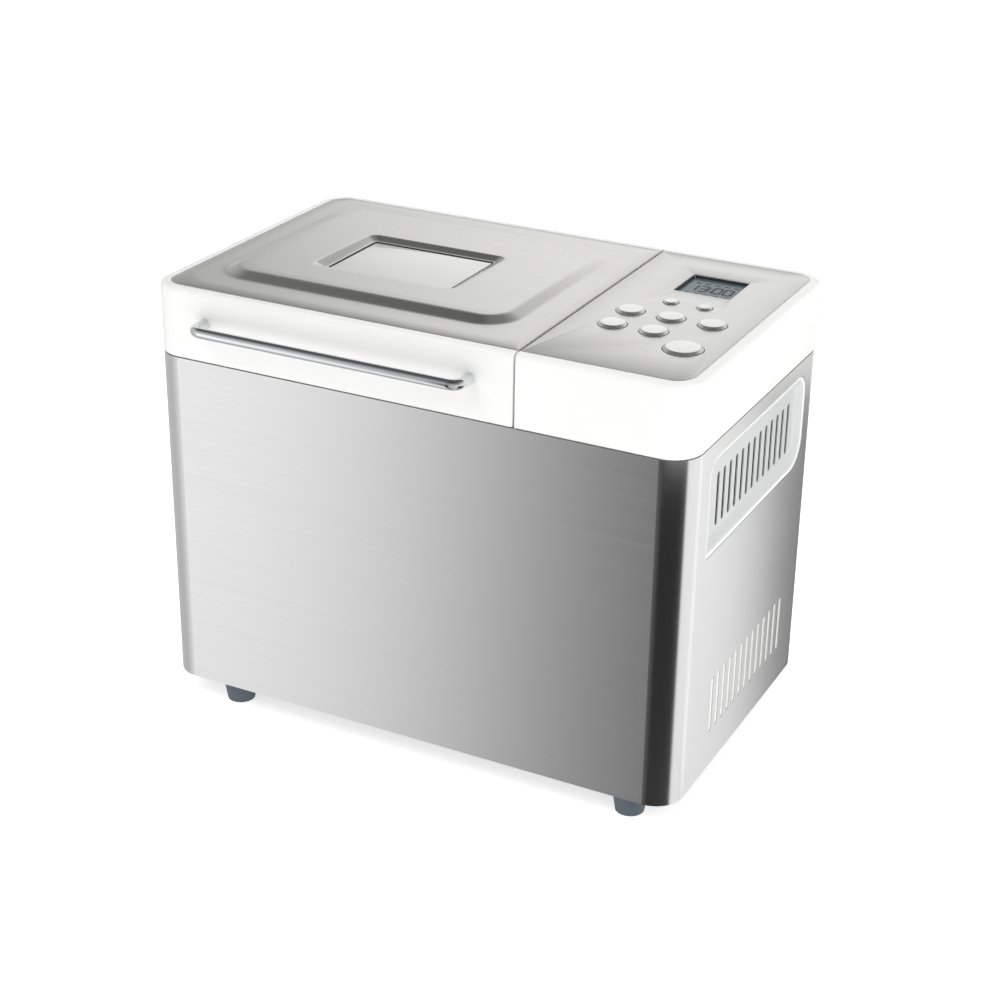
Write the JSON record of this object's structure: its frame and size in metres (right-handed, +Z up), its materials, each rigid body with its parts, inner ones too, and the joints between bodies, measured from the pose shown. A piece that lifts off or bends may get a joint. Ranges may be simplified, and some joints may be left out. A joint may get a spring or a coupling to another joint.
{
  "type": "bread machine",
  "caption": "Countertop bread machine with a hinged windowed lid, a control panel at its right, and a lift-out kneading pan driven by a belt from a motor beside the oven.",
  "frame": {"origin": "on the table, under the middle of the overall footprint with the lid handle included", "axes": "+X to the user's right along the width, +Y from the front to the back, +Z up"},
  "size_m": [0.38, 0.2504, 0.3057],
  "materials": {
    "brushed_steel": "brushed lengthwise",
    "white_plastic": "glossy moulding",
    "button_plastic": "silver-white, glossy",
    "foot_rubber": "matte",
    "seal_rubber": "matte",
    "silicone": "matte",
    "chrome": "polished",
    "window_glass": "tinted, semi-reflective",
    "display": "clear lens over a liquid-crystal display",
    "zinc_sheet": "galvanised",
    "black_plastic": "moulded",
    "board": "green circuit board",
    "nonstick": "dark non-stick coat",
    "cast_alloy": "cast, bead-blasted",
    "element": "dark oxidised sheath",
    "steel_bar": "drawn steel",
    "core_steel": "laminated electrical steel",
    "copper": "enamelled copper wire",
    "bronze": "sintered bronze",
    "belt_rubber": "ribbed belt",
    "pulley_plastic": "moulded",
    "ceramic_white": "sleeved"
  },
  "bodies": {
    "base": {"base_plate": "black_plastic", "feet": "foot_rubber", "steel_wrap": "brushed_steel", "rear_panel": "white_plastic", "cord_gland": "black_plastic", "upper_housing": "white_plastic", "top_frame": "white_plastic", "control_fascia": "brushed_steel", "lcd_lens": "display", "control_board": "board", "side_vent_grille": "white_plastic", "lower_vent_liner": "white_plastic", "oven_liner": "zinc_sheet", "heating_element": "element", "temperature_sensor": "steel_bar", "thermal_fuse": "ceramic_white", "pan_lock_ring": "steel_bar", "bearing_housing": "cast_alloy", "drive_bushes": "bronze", "drive_belt": "belt_rubber", "motor_bracket": "zinc_sheet", "motor_stator": "core_steel", "motor_windings": "copper", "motor_end_frames": "cast_alloy", "run_capacitor": "cast_alloy", "power_board": "board", "hinge_brackets": "zinc_sheet", "hinge_pins": "steel_bar", "case_screws": "steel_bar"},
    "lid": {"lid_shell": "white_plastic", "lid_top_plate": "brushed_steel", "window_seal": "seal_rubber", "window_glass": "window_glass", "lid_liner": "zinc_sheet", "inner_glass": "window_glass", "lid_handle": "chrome", "lid_screws": "steel_bar"},
    "pan": {"bread_pan": "nonstick", "pan_base_ring": "cast_alloy", "pan_ears": "cast_alloy", "pan_bush": "bronze", "shaft_seal": "silicone"},
    "bail": {"pan_handle": "steel_bar"},
    "kneader": {"kneader_shaft": "steel_bar", "kneading_paddle": "nonstick", "pan_coupler": "cast_alloy"},
    "drive": {"drive_shaft": "steel_bar", "drive_coupler": "black_plastic", "driven_pulley": "pulley_plastic"},
    "motor": {"motor_rotor": "core_steel", "motor_pulley": "cast_alloy", "cooling_fan": "pulley_plastic"},
    "button_menu_body": {"button_menu": "button_plastic"},
    "button_size_body": {"button_size": "button_plastic"},
    "button_crust_body": {"button_crust": "button_plastic"},
    "button_rapid_body": {"button_rapid": "button_plastic"},
    "button_light_body": {"button_light": "button_plastic"},
    "button_timer_up_body": {"button_timer_up": "button_plastic"},
    "button_timer_down_body": {"button_timer_down": "button_plastic"},
    "button_start_stop_body": {"button_start_stop": "button_plastic"}
  },
  "joints": [
    {"name": "lid_hinge", "type": "hinge", "parent": "base", "child": "lid", "pos_m": [0, 0.11125, 0.27], "axis": [-1, 0, 0], "range_deg": [0, 95]},
    {"name": "pan_twist", "type": "hinge", "parent": "base", "child": "pan", "pos_m": [-0.058, 0.003, 0.08], "axis": [0, 0, 1], "range_deg": [-11, 0]},
    {"name": "pan_handle_swing", "type": "hinge", "parent": "pan", "child": "bail", "pos_m": [-0.058, 0.003, 0.212], "axis": [1, 0, 0], "range_deg": [0, 186]},
    {"name": "motor_spin", "type": "hinge", "parent": "base", "child": "motor", "pos_m": [0.126, 0.003, 0.08], "axis": [0, 0, 1], "continuous": true},
    {"name": "drive_spin", "type": "hinge", "parent": "base", "child": "drive", "pos_m": [-0.058, 0.003, 0.04], "axis": [0, 0, 1], "continuous": true},
    {"name": "kneader_spin", "type": "hinge", "parent": "pan", "child": "kneader", "pos_m": [-0.058, 0.003, 0.09], "axis": [0, 0, 1], "continuous": true},
    {"name": "press_menu", "type": "slide", "parent": "base", "child": "button_menu_body", "axis": [0, 0, -1], "range_m": [0, 0.001], "stiffness_N_per_m": 250, "springref_m": -0.001},
    {"name": "press_size", "type": "slide", "parent": "base", "child": "button_size_body", "axis": [0, 0, -1], "range_m": [0, 0.001], "stiffness_N_per_m": 250, "springref_m": -0.001},
    {"name": "press_crust", "type": "slide", "parent": "base", "child": "button_crust_body", "axis": [0, 0, -1], "range_m": [0, 0.001], "stiffness_N_per_m": 250, "springref_m": -0.001},
    {"name": "press_rapid", "type": "slide", "parent": "base", "child": "button_rapid_body", "axis": [0, 0, -1], "range_m": [0, 0.001], "stiffness_N_per_m": 250, "springref_m": -0.001},
    {"name": "press_light", "type": "slide", "parent": "base", "child": "button_light_body", "axis": [0, 0, -1], "range_m": [0, 0.001], "stiffness_N_per_m": 250, "springref_m": -0.001},
    {"name": "press_timer_up", "type": "slide", "parent": "base", "child": "button_timer_up_body", "axis": [0, 0, -1], "range_m": [0, 0.001], "stiffness_N_per_m": 250, "springref_m": -0.001},
    {"name": "press_timer_down", "type": "slide", "parent": "base", "child": "button_timer_down_body", "axis": [0, 0, -1], "range_m": [0, 0.001], "stiffness_N_per_m": 250, "springref_m": -0.001},
    {"name": "press_start_stop", "type": "slide", "parent": "base", "child": "button_start_stop_body", "axis": [0, 0, -1], "range_m": [0, 0.001], "stiffness_N_per_m": 250, "springref_m": -0.001}
  ],
  "couplings": [
    {"joint": "drive_spin", "follows": "motor_spin", "ratio": 0.16},
    {"joint": "kneader_spin", "follows": "motor_spin", "ratio": 0.16}
  ]
}
